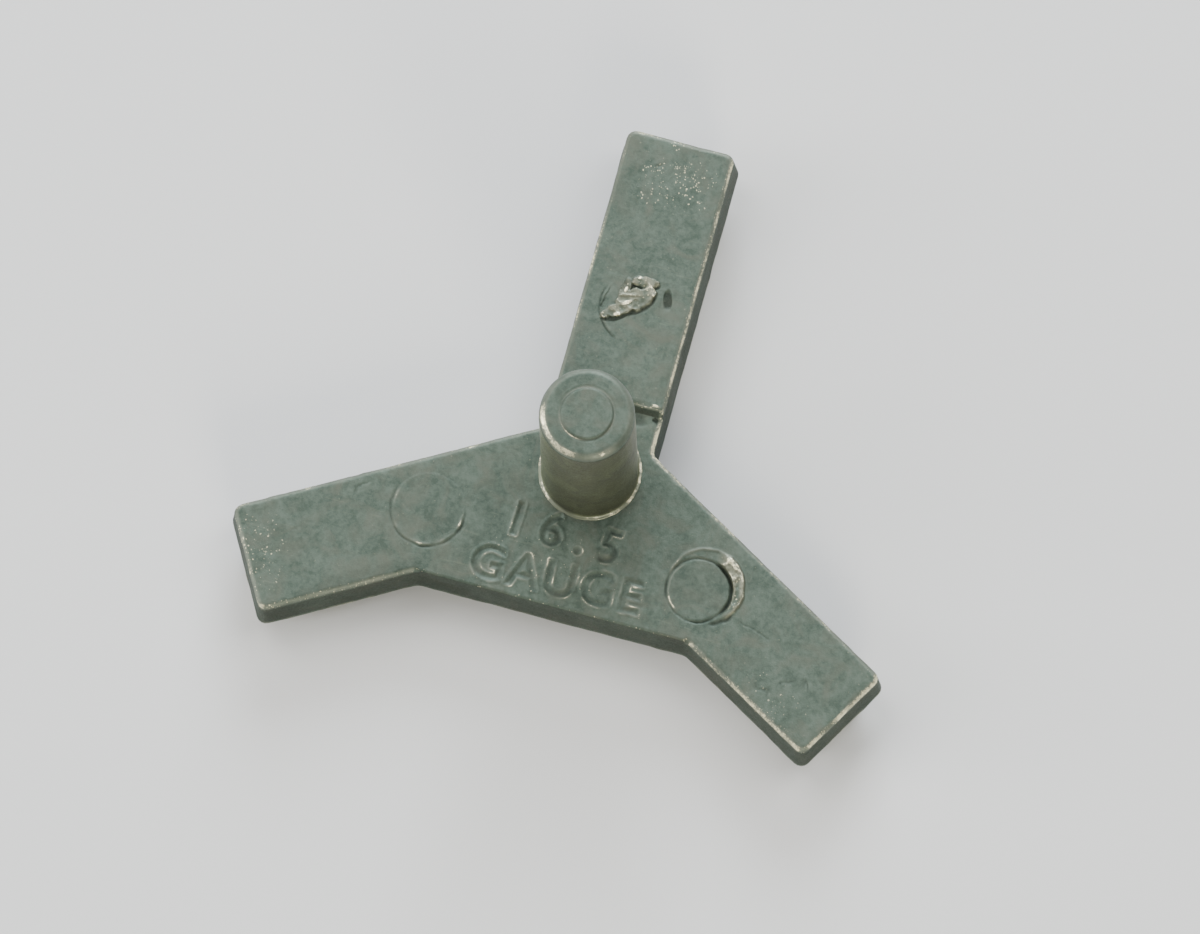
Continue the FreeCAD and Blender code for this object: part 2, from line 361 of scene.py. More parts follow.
@dataclass
class CrescentBurr(Mark):
    """Metal squeezed up beside a pin, in the crescent between two offset circles, with painted
    glints on its crest and ridge and painted shade in its groove and tail.
    """

    inner: Circle = Circle(5.10, -3.40, 1.19)
    outer: Circle = Circle(5.33, -3.16, 1.44)
    rise: float = 0.11
    groove_depth: float = 0.07
    gap_depth: float = 0.10
    ridge_height: float = 0.035
    tail_depth: float = 0.05
    fine_reach: float = 0.25
    reach: float = 0.3

    def zone(self, place: Vector) -> bool:
        """Tell whether a place is close enough to need fine faces."""
        return self.outer.gap(place) < self.fine_reach

    def relief(self, place: Vector) -> Relief:
        """Return the burr's relief at a place."""
        wobble = 0.05 * rough(place, 2.0, 11.0) + 0.03 * rough(place, 5.0, 12.0)
        inner = self.inner.gap(place) + 0.5 * wobble
        outer = self.outer.gap(place) + wobble
        if outer > self.reach:
            return Relief()
        angle = self.outer.angle(place)
        side = facing(angle, 16.0, 70.0)
        body = side * smooth(0.06, 0.15, inner) * (1.0 - smooth(-0.04, 0.06, outer))
        across = clamp(inner / max(inner - outer, 0.01))
        trough = smooth(0.2, 0.5, across) * (1.0 - smooth(0.55, 0.9, across))
        trough *= facing(angle, -10.0, 40.0)
        crumble = 0.9 - 1.1 * abs(rough(place, 3.2, 13.0)) + 0.45 * rough(place, 8.0, 14.0)
        ragged = 0.03 * side * rough(place, 4.0, 17.0)
        groove = bell(inner - 0.02 - 0.03 * side + ragged, 0.04 + 0.02 * side)
        groove *= clamp(0.75 + 0.8 * rough(place, 1.7, 15.0) + side)
        ridge = facing(angle, 128.0, 60.0) * bell(outer + 0.03, 0.055)
        tail = facing(angle, 308.0, 22.0) * bell(outer - 0.04, 0.07)
        height = body * self.rise * (0.6 + 0.5 * crumble - 0.8 * trough)
        height -= groove * (self.groove_depth + self.gap_depth * side)
        height += self.ridge_height * ridge - self.tail_depth * tail
        # Painted glints along the inner edge, the ridge and the crest; painted shade in the groove
        # and the tail.
        glint = facing(angle, 221.0, 14.0) * bell(inner + 0.07, 0.045)
        thin = facing(angle, 185.0, 45.0) * bell(inner + 0.08, 0.03)
        wear_and_glint = max(glint, 0.62 * thin, ridge * (0.55 + 0.5 * rough(place, 2.5, 16.0)))
        crest = body * smooth(0.60, 1.10, crumble + 0.35 * facing(angle, 48.0, 34.0))
        wear_and_glint = max(wear_and_glint, 0.85 * crest * (1.0 - 0.8 * trough))
        metal = body * clamp(0.5 + crumble) * clamp(1.0 - 0.95 * trough)
        return Relief(height, wear_and_glint, metal, 0.9 * max(groove, tail), body)


@dataclass
class Lump(Mark):
    """A mark in the outline of an ellipse."""

    x: float
    y: float
    length: float
    width: float
    turn: float

    def cover(self, place: Vector) -> float:
        """Return 1 at the ellipse's middle, falling to 0 at its edge and below outside."""
        offset = Vector((place.x - self.x, place.y - self.y))
        angle = math.radians(self.turn)
        along = (offset.x * math.cos(angle) + offset.y * math.sin(angle)) / self.length
        across = (offset.y * math.cos(angle) - offset.x * math.sin(angle)) / self.width
        return 1.0 - math.hypot(along, across)

    def near(self, place: Vector, margin: float) -> bool:
        """Tell whether a place is no farther off than the ellipse's end and a margin."""
        return Circle(self.x, self.y, self.length).gap(place) < margin


@dataclass
class TornScar(Mark):
    """A bright torn flake where metal stuck to the pin and broke away."""

    lobes: list[Lump] = field(default_factory=lambda: [
        Lump(-0.10, 6.74, 0.80, 0.46, 36.0),
        Lump(-0.68, 6.14, 0.60, 0.27, 33.0),
        Lump(-0.55, 7.08, 0.40, 0.20, 80.0),
        Lump(0.10, 7.48, 0.56, 0.20, 8.0),
    ])
    rise: float = 0.12
    moat_depth: float = 0.04
    reach: float = -0.6

    def _cover(self, place: Vector) -> float:
        """Return the cover of the lobe that covers a place most."""
        return max(lobe.cover(place) for lobe in self.lobes)

    def zone(self, place: Vector) -> bool:
        """Tell whether a place is close enough to need fine faces."""
        return self._cover(place) > self.reach

    def relief(self, place: Vector) -> Relief:
        """Return the scar's relief at a place."""
        cover = self._cover(place)
        if cover < self.reach:
            return Relief()
        cover += 0.30 * rough(place, 2.6, 21.0) + 0.20 * rough(place, 6.0, 22.0)
        mask = smooth(0.0, 0.14, cover)
        ridges = 1.0 - 2.6 * abs(rough(place, 1.7, 23.0))
        fine = 1.0 - 2.4 * abs(rough(place, 4.6, 24.0))
        folds = 0.38 + 0.34 * ridges + 0.16 * fine + 0.25 * rough(place, 1.1, 26.0)
        below = self._cover(place + Vector((-0.03, 0.1, 0.0)))
        moat = smooth(0.05, 0.25, below + 0.15) * (1.0 - mask)
        height = mask * self.rise * (0.3 + 0.8 * folds) - self.moat_depth * moat
        crest = smooth(0.70, 0.95, folds)
        border = mask * (1.0 - smooth(0.12, 0.38, cover))
        torn = mask * (0.20 + 0.70 * smooth(0.3, 0.8, folds))
        # Painted highlights on the crests and the border; painted shade in the moat and the cracks.
        wear_and_glint = max(0.9 * mask * crest, border * clamp(0.20 + 1.7 * rough(place, 2.2, 25.0)))
        crack = mask * (1.0 - smooth(0.05, 0.40, folds))
        return Relief(height, wear_and_glint, torn, max(0.8 * moat, crack), 0.8 * mask)


@dataclass
class Dent(Lump):
    """A small sharp dent, painted darker inside as shade, or only a darker patch where its depth is
    zero.
    """

    depth: float
    strength: float = 0.8

    def zone(self, place: Vector) -> bool:
        """Tell whether a place is close enough to need fine faces."""
        return self.near(place, 0.15) and self.depth > 0.0

    def relief(self, place: Vector) -> Relief:
        """Return the dent's relief at a place."""
        mask = smooth(0.0, 0.45, self.cover(place) + 0.12 * rough(place, 5.0, 31.0))
        return Relief(-self.depth * mask, soil=self.strength * mask)


@dataclass
class PaintedGlint(Lump):
    """A small painted highlight on a slightly raised spot."""

    rise: float = 0.02

    def zone(self, place: Vector) -> bool:
        """Tell whether a place is close enough to need fine faces."""
        return self.near(place, 0.1)

    def relief(self, place: Vector) -> Relief:
        """Return the spot's relief at a place."""
        mask = smooth(0.0, 0.6, self.cover(place))
        return Relief(self.rise * mask, wear=mask)


@dataclass
class GritGlintPatch(Lump):
    """A patch of porous skin whose small grains carry painted glints; only the finish shows it."""

    strength: float = 1.0

    def relief(self, place: Vector) -> Relief:
        """Return the patch's relief at a place."""
        ragged = 0.35 * rough(place, 0.9, 71.0) + 0.55 * rough(place, 2.3, 72.0)
        mask = smooth(0.0, 0.8, self.cover(place) + ragged)
        return Relief(grit=self.strength * mask)


@dataclass
class Crease(Mark):
    """A fine crease left by cold metal, along a few straight runs, painted darker inside as shade.
    """

    points: list[Pair]
    width: float = 0.04
    depth: float = 0.03
    strength: float = 0.7
    wobble: float = 0.34
    jitter: float = 0.06

    def _distance(self, place: Vector) -> float:
        """Return the distance from a place to the crease's line."""
        nearest = math.inf
        for start, end in zip(self.points, self.points[1:]):
            run = Vector(end) - Vector(start)
            offset = place.xy - Vector(start)
            share = clamp(offset.dot(run) / run.length_squared)
            nearest = min(nearest, (offset - share * run).length)
        return nearest

    def zone(self, place: Vector) -> bool:
        """Tell whether a place is close enough to need fine faces."""
        return self._distance(place) < 0.6 * self.wobble + self.jitter

    def relief(self, place: Vector) -> Relief:
        """Return the crease's relief at a place."""
        shift = drift(place, 1.8, 61.0) * self.wobble + drift(place, 6.0, 64.0) * self.jitter
        line = bell(self._distance(place + shift), self.width)
        line *= clamp(0.45 + 1.5 * rough(place, 2.0, 63.0))
        return Relief(-self.depth * line, soil=self.strength * line)


@dataclass
class TextLine:
    """One line of sunk block lettering."""

    words: str
    x: float
    y: float
    turn: float
    cap_height: float = 1.28
    spacing: float = 1.12

    def mesh(self) -> bpy.types.Mesh:
        """Return the line as a flat mesh, centred on its place."""
        cap_share = 0.7
        curve = bpy.data.curves.new("marking", "FONT")
        curve.body = self.words
        curve.align_x = "CENTER"
        curve.align_y = "CENTER"
        curve.space_character = self.spacing
        curve.size = self.cap_height / cap_share
        curve.resolution_u = 6
        carrier = add_object("marking", curve)
        graph = bpy.context.evaluated_depsgraph_get()
        mesh = bpy.data.meshes.new_from_object(carrier.evaluated_get(graph))
        bpy.data.objects.remove(carrier)
        bpy.data.curves.remove(curve)
        place = Matrix.Translation((self.x, self.y, 0.0))
        mesh.transform(place @ Matrix.Rotation(math.radians(self.turn), 4, "Z"))
        return mesh

    def near(self, place: Vector) -> bool:
        """Tell whether a place is in the box round the line."""
        half_width = 0.42 * self.cap_height * len(self.words) + 0.75
        half_height = 0.5 * self.cap_height + 0.25
        return abs(place.x - self.x) < half_width and abs(place.y - self.y) < half_height


@dataclass
class Lettering(Mark):
    """The sunk marking between the knob and the web's front edge."""

    lines: list[TextLine] = field(default_factory=lambda: [
        TextLine("16.5", -0.30, -2.64, -2.0, spacing=1.5),
        TextLine("GAUGE", -0.10, -4.42, 1.2),
    ])
    depth: float = 0.055
    wall: float = 0.10
    bolder: float = 0.02
    sample: float = 0.02
    rim_height: float = 0.02
    _solid: BVHTree | None = None
    _outline: KDTree | None = None

    def prepare(self) -> None:
        """Make the flat letters, and the trees that tell inside from outside."""
        flat = bmesh.new()
        for line in self.lines:
            mesh = line.mesh()
            flat.from_mesh(mesh)
            bpy.data.meshes.remove(mesh)
        bmesh.ops.remove_doubles(flat, verts=flat.verts, dist=WELD / 4)
        self._solid = BVHTree.FromBMesh(flat)
        points: list[Vector] = []
        for edge in flat.edges:
            if edge.is_boundary:
                start, end = edge.verts[0].co, edge.verts[1].co
                steps = max(1, math.ceil((end - start).length / self.sample))
                points += [start.lerp(end, step / steps) for step in range(steps)]
        self._outline = KDTree(len(points))
        for index, point in enumerate(points):
            self._outline.insert(point, index)
        self._outline.balance()
        flat.free()

    def zone(self, place: Vector) -> bool:
        """Tell whether a place is close enough to need fine faces."""
        return any(line.near(place) for line in self.lines)

    def relief(self, place: Vector) -> Relief:
        """Return the letters' relief at a place."""
        if not self.zone(place):
            return Relief()
        flat = Vector((place.x, place.y, 0.0))
        flat += 0.02 * drift(flat, 4.0, 41.0)
        _, _, distance = self._outline.find(flat)
        up = Vector((0.0, 0.0, 1.0))
        hit, _, _, _ = self._solid.ray_cast(flat + up, -up)
        signed = (-distance if hit is None else distance) + self.bolder
        sunk = smooth(-0.3 * self.wall, self.wall, signed)
        rim = bell(signed + 0.07, 0.045)
        depth = self.depth * (0.8 + 0.5 * rough(place, 0.9, 43.0))
        # Painted highlights along the letters' rims.
        wear_and_glint = clamp(rim * (0.30 + 1.3 * rough(place, 2.4, 44.0)))
        height = self.rim_height * rim - depth * sunk + 0.01 * sunk * rough(place, 6.0, 45.0)
        # Painted shade in the sunk strokes.
        painted_shade = sunk * (0.30 + 0.3 * rough(place, 1.4, 46.0))
        return Relief(height, wear=0.92 * wear_and_glint, soil=painted_shade, grit=0.8 * rim)


# ---------------------------------------------------------------- the casting


@dataclass
class PlateSkin:
    """The Y-shaped plate: three drafted arms, the web and the step at the root."""

    parting_level: float
    top_level: float
    single_reach: float
    arm_half_width: float = 2.1
    paired_reach: float = 13.28
    web_distance: float = 5.44
    draft: float = math.tan(math.radians(5.0))
    step_start: float = 2.6
    step_height: float = 0.24
    tip_radius: float = 0.36
    inside_radius: float = 0.16
    edge_radius: float = 0.19
    web_edge_radius: float = 0.28
    # Room for unevenness inside the CAD model's box: all round, and more at the tip.
    slack: float = 0.03
    tip_slack: float = 0.09
    pitch: float = 0.12
    wall_pitch: float = 0.2
    # The upward parts of a normal over which levels, walls and rounded edges fade out.
    level_fade: Pair = (0.80, 0.97)
    wall_fade: Pair = (0.08, 0.30)
    edge_fade: Pair = (0.90, 0.985)
    flash_height: float = 0.16
    flash_rise: float = 0.03
    flash_shine: float = 0.75
    # How bright the top edges are painted, as rub-polished metal and painted highlight together, and
    # how much dimmer or brighter by the way they face.
    edge_wear: float = 0.82
    sheltered_loss: float = 0.32
    left_tip_loss: float = 0.22
    right_tip_gain: float = 0.12
    web_edge_wear: float = 0.05
    side_spread: float = 32.0
    step_grime: float = 0.8
    lip: float = 0.01
    underside: dict[Channel, float] = field(default_factory=lambda: {
        Channel.WEAR: 0.0, Channel.TORN: 0.0, Channel.SOIL: 0.25, Channel.GRIT: 0.3})
    marks: list[Mark] = field(default_factory=list)

    def _sides(self) -> list[Pair]:
        """Return each side's outward direction and distance at the parting line."""
        flare = self.draft * (self.top_level - self.parting_level) - self.slack
        paired = self.arm_half_width + flare
        single = paired + self.draft * self.step_height
        reach = self.paired_reach + flare
        return [
            (Arm.SINGLE.value, self.single_reach - self.slack - self.tip_slack),
            (Arm.SINGLE.value + 90.0, single),
            (Arm.LEFT.value - 90.0, paired),
            (Arm.LEFT.value, reach),
            (Arm.LEFT.value + 90.0, paired),
            (270.0, self.web_distance + flare),
            (Arm.RIGHT.value - 90.0, paired),
            (Arm.RIGHT.value, reach),
            (Arm.RIGHT.value + 90.0, paired),
            (Arm.SINGLE.value - 90.0, single),
        ]

    def _rough_form(self) -> BMesh:
        """Return the plate with drafted walls, raised single arm and rounded edges."""
        bm = bmesh.new()
        sides = self._sides()
        lift = Vector((0.0, 0.0, self.parting_level))
        corners = [crossing(here, after) + lift for here, after in zip(sides, sides[1:] + sides[:1])]
        top = bm.faces.new([bm.verts.new(corner) for corner in corners])
        bm.normal_update()
        raise_face(bm, top, self.top_level - self.parting_level, self.draft)
        self._round_corners(bm)
        self._raise_single_arm(bm)
        self._round_top(bm)
        return bm

    def _round_corners(self, bm: BMesh) -> None:
        """Round the upright edges: the arms' tips, then the inside corners."""
        tip_distance = self.paired_reach - 1.0
        least_height, least_turn = 1.0, math.radians(20.0)
        for at_tip, radius in ((True, self.tip_radius), (False, self.inside_radius)):
            edges = []
            for edge in bm.edges:
                start, end = edge.verts[0].co, edge.verts[1].co
                near_tip = ((start + end) / 2).xy.length > tip_distance
                upright = abs(start.z - end.z) > least_height and len(edge.link_faces) == 2
                if upright and near_tip == at_tip and edge.calc_face_angle(0.0) > least_turn:
                    edges.append(edge)
            round_edges(bm, edges, radius)

    def _raise_single_arm(self, bm: BMesh) -> None:
        """Raise the single arm past its root, with a sloping step."""
        bm.normal_update()
        top = max(bm.faces, key=lambda face: face.calc_area())
        geometry = [top, *top.edges, *top.verts]
        bmesh.ops.bisect_plane(bm, geom=geometry, dist=WELD, plane_co=(0.0, self.step_start, 0.0),
                               plane_no=(0.0, 1.0, 0.0))
        level = [face for face in bm.faces if face.normal.z > FLAT]
        raised = max(level, key=lambda face: face.calc_center_median().y)
        raise_face(bm, raised, self.step_height, self.draft)
        for vert in raised.verts:
            if vert.co.y < self.step_start + self.step_height:
                vert.co.y += self.step_height * (1.0 - self.draft)

    def _round_top(self, bm: BMesh) -> None:
        """Round the top edges, softer along the web's front."""
        web_half_width, web_depth, steep = 4.0, 0.5, 0.8
        for soft in (True, False):
            bm.normal_update()
            edges = []
            for edge in bm.edges:
                if len(edge.link_faces) != 2 or not edge.is_convex:
                    continue
                upper, lower = sorted(face.normal.z for face in edge.link_faces)[::-1]
                middle = (edge.verts[0].co + edge.verts[1].co) / 2
                in_front = middle.y < web_depth - self.web_distance
                along_web = in_front and abs(middle.x) < web_half_width
                if upper > FLAT and lower < steep and along_web == soft:
                    edges.append(edge)
            radius = self.web_edge_radius if soft else self.edge_radius
            round_edges(bm, edges, radius, limited=False)

    def _shape_surface(self, bm: BMesh) -> None:
        """Move every vertex by the casting's unevenness and by the marks on it."""
        bm.normal_update()
        layers = channel_layers(bm)
        for vert in bm.verts:
            place, normal = vert.co.copy(), vert.normal.copy()
            level = smooth(*self.level_fade, normal.z)
            wall = 1.0 - smooth(*self.wall_fade, normal.z)
            edge = (1.0 - wall) * (1.0 - smooth(*self.edge_fade, normal.z))
            waves = 0.010 * rough(place, 0.5) + 0.006 * rough(place, 1.6, 2.0)
            ripple = 0.003 * rough(place, 5.0, 4.0) * level
            nicks = 0.018 * rough(place, 2.2, 6.0) + 0.014 * rough(place, 5.0, 7.0)
            drawn = Vector((place.x * 3.0, place.y * 3.0, place.z * 0.5))
            drag = 0.008 * noise.noise(drawn) * wall
            foot = wall * (1.0 - smooth(0.0, self.flash_height, place.z - self.parting_level))
            flash = self.flash_rise * foot * max(0.0, rough(place, 1.6, 8.0))
            vert.co += normal * (waves + ripple + drag + edge * nicks + flash)
            relief = Relief()
            if level > 0.0:
                for mark in self.marks:
                    relief.add(mark.relief(place))
            vert.co.z += relief.height * level
            # Painted glints on the real flash along the parting line.
            flecks = self.flash_shine * foot * clamp(rough(place, 1.8, 9.0) * 2.5)
            # Painted shade: the walls darker than the level top, and the step's slope darker still.
            painted_shade = wall * (0.80 + 0.18 * rough(place, 0.8, 10.0))
            if self._on_step(place):
                edge, painted_shade = 0.0, self.step_grime
            # Edges facing the warm front lamp get more painted highlight and more painted glints.
            front = smooth(-0.35, 0.15, normal.x * 0.5 - normal.y * 0.87)
            rubbed_and_highlight = edge * self._edge_wear(place, normal) * (0.80 + 0.20 * front)
            vert[layers[Channel.WEAR]] = max(relief.wear, rubbed_and_highlight, flecks)
            vert[layers[Channel.TORN]] = relief.torn * level
            vert[layers[Channel.SOIL]] = max(relief.soil, painted_shade * (1.0 - foot))
            vert[layers[Channel.GRIT]] = max(relief.grit, 0.12 + edge * (0.2 + 1.9 * front))

    def _on_step(self, place: Vector) -> bool:
        """Tell whether a place is on the step's slope, between the arm's edges."""
        behind = place.y - self.step_start
        inside = abs(place.x) < self.arm_half_width - 0.15
        return -0.02 < behind < self.step_height and inside

    def _edge_wear(self, place: Vector, normal: Vector) -> float:
        """Return how bright the top edge is painted at a place: rub-polished metal with a painted
        highlight that depends on which way the edge faces.
        """
        half_width, depth = 5.3, 0.6
        if abs(place.x) < half_width and place.y < depth - self.web_distance:
            base = self.web_edge_wear
        else:
            outward = math.degrees(math.atan2(normal.y, normal.x))
            base = self.edge_wear
            base -= self.sheltered_loss * facing(outward, Arm.LEFT.value + 90.0, self.side_spread)
            base -= self.left_tip_loss * facing(outward, Arm.LEFT.value, self.side_spread)
            base += self.right_tip_gain * facing(outward, Arm.RIGHT.value, self.side_spread)
        return clamp(base * (0.95 + 0.45 * rough(place, 1.2, 5.0)))

    def _close_underside(self, bm: BMesh) -> None:
        """Close the open lower side with a flat face that has its own even channels."""
        rim = [edge for edge in bm.edges if edge.is_boundary]
        cap = bmesh.ops.holes_fill(bm, edges=rim, sides=0)["faces"]
        made = bmesh.ops.extrude_face_region(bm, geom=cap)["geom"]
        bmesh.ops.delete(bm, geom=cap, context="FACES_ONLY")
        layers = channel_layers(bm)
        for item in made:
            if isinstance(item, bmesh.types.BMVert):
                item.co.z -= self.lip
                for channel, value in self.underside.items():
                    item[layers[channel]] = value
            elif isinstance(item, bmesh.types.BMEdge):
                item.smooth = False
        for edge in rim:
            edge.smooth = False

    def build(self, material: Material) -> Object:
        """Build the plate's skin.

        Args:
            material: Its finish.

        Returns:
            The piece.
        """
        bm = self._rough_form()
        for axis in (0, 1):
            slice_across(bm, axis, -self.single_reach, self.single_reach, self.pitch)
        slice_across(bm, 2, self.parting_level, self.top_level - 0.1, self.wall_pitch)
        for mark in self.marks:
            refine(bm, mark.zone, 2)
        bmesh.ops.remove_doubles(bm, verts=bm.verts, dist=WELD)
        self._shape_surface(bm)
        self._close_underside(bm)
        bmesh.ops.recalc_face_normals(bm, faces=bm.faces)
        return finish_mesh(bm, "plate_skin", material)


@dataclass
class KnobSkin:
    """The grip knob: thin rim, root fillet, drafted side and a marked top."""

    plate_level: float
    top_level: float
    root_radius: float = 1.81
    top_radius: float = 1.75
    shoulder: float = 0.34
    rim_radius: float = 0.13
    rim_height: float = 0.03
    mark_radius: float = 0.97
    mark_height: float = 0.05
    mark_moat: float = 0.03
    embed: float = 0.3
    slack: float = 0.004
    steps: int = 160
    rows: int = 60
    rim_steps: int = 6
    shoulder_steps: int = 8
    face_rings: tuple[float, ...] = (1.30, 1.20, 1.12, 1.07)
    mark_insets: tuple[float, ...] = (0.03, 0.10, 0.20, 0.34, 0.50, 0.68, 0.84)

    def _profile(self) -> list[Vector]:
        """Return the outline from inside the plate up to the axis at the top."""
        rim = self.root_radius + self.rim_radius
        base = self.plate_level + self.rim_height
        face = self.top_level - self.mark_height
        inner = self.top_radius - self.shoulder
        rows = [(rim, self.plate_level - self.embed), (rim, base)]
        for step in range(1, self.rim_steps + 1):
            turn = math.radians(90.0 * step / self.rim_steps)
            rows.append((rim - self.rim_radius * math.sin(turn),
                         base + self.rim_radius * (1.0 - math.cos(turn))))
        (radius, level), rise = rows[-1], face - self.shoulder - rows[-1][1]
        for share in (row / self.rows for row in range(1, self.rows + 1)):
            rows.append((radius + (self.top_radius - radius) * share, level + rise * share))
        for step in range(1, self.shoulder_steps + 1):
            turn = math.radians(90.0 * step / self.shoulder_steps)
            rows.append((inner + self.shoulder * math.cos(turn),
                         face - self.shoulder * (1.0 - math.sin(turn))))
        rows += [(radius, face) for radius in self.face_rings]
        rows += [(self.mark_radius + self.mark_moat, face - self.mark_moat),
                 (self.mark_radius, face - self.mark_moat / 3)]
        top = self.top_level - self.slack
        rows += [(self.mark_radius - inset, top) for inset in self.mark_insets]
        return [Vector((radius, 0.0, level)) for radius, level in [*rows, (0.0, top)]]

    def build(self, material: Material,
              top_material: Material) -> Object:
        """Build the knob's skin.

        Args:
            material: The side's finish.
            top_material: The top's finish.

        Returns:
            The piece.
        """
        bm = bmesh.new()
        verts = [bm.verts.new(point) for point in self._profile()]
        edges = [bm.edges.new(pair) for pair in zip(verts, verts[1:])]
        bmesh.ops.spin(bm, geom=verts + edges, axis=(0.0, 0.0, 1.0), cent=(0.0, 0.0, 0.0),
                       steps=self.steps, angle=math.tau, use_merge=True)
        bmesh.ops.remove_doubles(bm, verts=bm.verts, dist=WELD)
        rim = [edge for edge in bm.edges if edge.is_boundary]
        bmesh.ops.holes_fill(bm, edges=rim, sides=0)
        bmesh.ops.recalc_face_normals(bm, faces=bm.faces)
        self._shape_surface(bm)
        shoulder = self.top_level - self.mark_height - self.shoulder
        for face in bm.faces:
            face.material_index = int(face.calc_center_median().z > shoulder)
        return finish_mesh(bm, "knob_skin", material, top_material)

    def _ring_wear(self, place: Vector, angle: float) -> float:
        """Return how bright the thin rim round the knob's root is at a place, as a painted highlight
        on its fillet.
        """
        front = facing(angle, 272.0, 42.0)
        return clamp(0.72 - 0.26 * front + 0.6 * rough(place, 2.6, 53.0))

    def _shape_surface(self, bm: BMesh) -> None:
        """Give the knob its draw marks and uneven rim, a painted highlight on the root's rim and the
        top's rounded edge, and painted shade on the front of its side and in the top's moat.
        """
        bm.normal_update()
        layers = channel_layers(bm)
        face = self.top_level - self.mark_height
        for vert in bm.verts:
            place, normal = vert.co.copy(), vert.normal.copy()
            radius, angle = place.xy.length, math.degrees(math.atan2(place.y, place.x))
            drawn = Vector((place.x * 6.0, place.y * 6.0, place.z * 0.7))
            if place.z < self.plate_level + self.rim_height + 0.06:
                uneven = 0.03 * rough(place, 1.4, 51.0) + 0.02 * rough(place, 5.0, 52.0)
                vert.co += Vector((place.x, place.y, 0.0)).normalized() * uneven
                vert[layers[Channel.WEAR]] = self._ring_wear(place, angle)
            elif place.z < face - self.shoulder:
                vert.co += normal * 0.006 * noise.noise(drawn)
                above = place.z - self.plate_level
                ring = 1.0 - smooth(0.05, 0.13, above)
                vert[layers[Channel.WEAR]] = ring * self._ring_wear(place, angle)
                # Painted shade on the front of the side, away from the lamps.
                painted_shade = 0.74 * facing(angle, 300.0, 90.0) + 0.20 * rough(place, 0.6, 56.0)
                vert[layers[Channel.SOIL]] = clamp(painted_shade) * smooth(0.12, 0.2, above)
            else:
                vert.co += normal * (0.008 * rough(place, 1.5, 54.0) - 0.006)
                corner = smooth(face - self.shoulder, face - 0.1, place.z)
                corner *= 1.0 - smooth(face - 0.02, face, place.z)
                # Painted highlight on the top's rounded edge, strongest towards the lower left.
                side = 0.40 + 0.32 * facing(angle, 228.0, 60.0) + 0.45 * rough(place, 1.5, 55.0)
                vert[layers[Channel.WEAR]] = corner * clamp(side)
                # Painted shade in the top's moat, more at the front.
                moat = 1.0 - smooth(0.02, 0.05, abs(radius - self.mark_radius - self.mark_moat))
                vert[layers[Channel.SOIL]] = moat * (0.1 + 0.5 * facing(angle, 285.0, 90.0))


def add_box(bm: BMesh, size: Triple, middle: Vector) -> None:
    """Add a box of the given size round its middle."""
    made = bmesh.ops.create_cube(bm, size=1.0)["verts"]
    bmesh.ops.scale(bm, vec=size, verts=made)
    bmesh.ops.translate(bm, vec=middle, verts=made)


@dataclass
class Foot:
    """One foot under an arm's end, with the rail's slot across it."""

    arm: Arm
    root_level: float
    slot_y: float
    embed: float = 0.2
    inner: float = 9.75
    outer: float = 12.95
    width: float = 3.3
    corner: float = 0.3
    draft: float = math.tan(math.radians(3.0))
    slot_length: float = 40.0
    slot_width: float = 0.95
    slot_depth: float = 1.0

    def _block(self) -> BMesh:
        """Return the drafted block, with its upper end inside the plate."""
        bm = bmesh.new()
        height = self.root_level + self.embed
        middle = (self.inner + self.outer) / 2
        size = (self.outer - self.inner, self.width, height)
        add_box(bm, size, Vector((middle, 0.0, height / 2)))
        inset = self.draft * height
        for vert in bm.verts:
            if vert.co.z < height / 2:
                vert.co.x -= math.copysign(inset, vert.co.x - middle)
                vert.co.y -= math.copysign(inset, vert.co.y)
        upright = []
        for edge in bm.edges:
            start, end = edge.verts[0].co, edge.verts[1].co
            if abs(start.z - end.z) > height / 2:
                upright.append(edge)
        round_edges(bm, upright, self.corner, segments=5)
        turn = Matrix.Rotation(math.radians(self.arm.value), 3, "Z")
        bmesh.ops.rotate(bm, cent=(0.0, 0.0, 0.0), matrix=turn, verts=bm.verts)
        return bm

    def _slot_bar(self) -> BMesh:
        """Return the slot's bar, along X."""
        bm = bmesh.new()
        size = (self.slot_length, self.slot_width, self.slot_depth * 2)
        add_box(bm, size, Vector((0.0, self.slot_y, 0.0)))
        return bm

    def form(self) -> bpy.types.Mesh:
        """Return the foot as a mesh in millimetres, with the slot cut."""
        block = add_object("foot_block", self._block())
        bar = add_object("slot_bar", self._slot_bar())
        cut = block.modifiers.new("slot", "BOOLEAN")
        cut.object = bar
        cut.operation = "DIFFERENCE"
        cut.solver = "EXACT"
        graph = bpy.context.evaluated_depsgraph_get()
        shaped = bpy.data.meshes.new_from_object(block.evaluated_get(graph))
        for carrier in (block, bar):
            mesh = carrier.data
            bpy.data.objects.remove(carrier)
            bpy.data.meshes.remove(mesh)
        return shaped


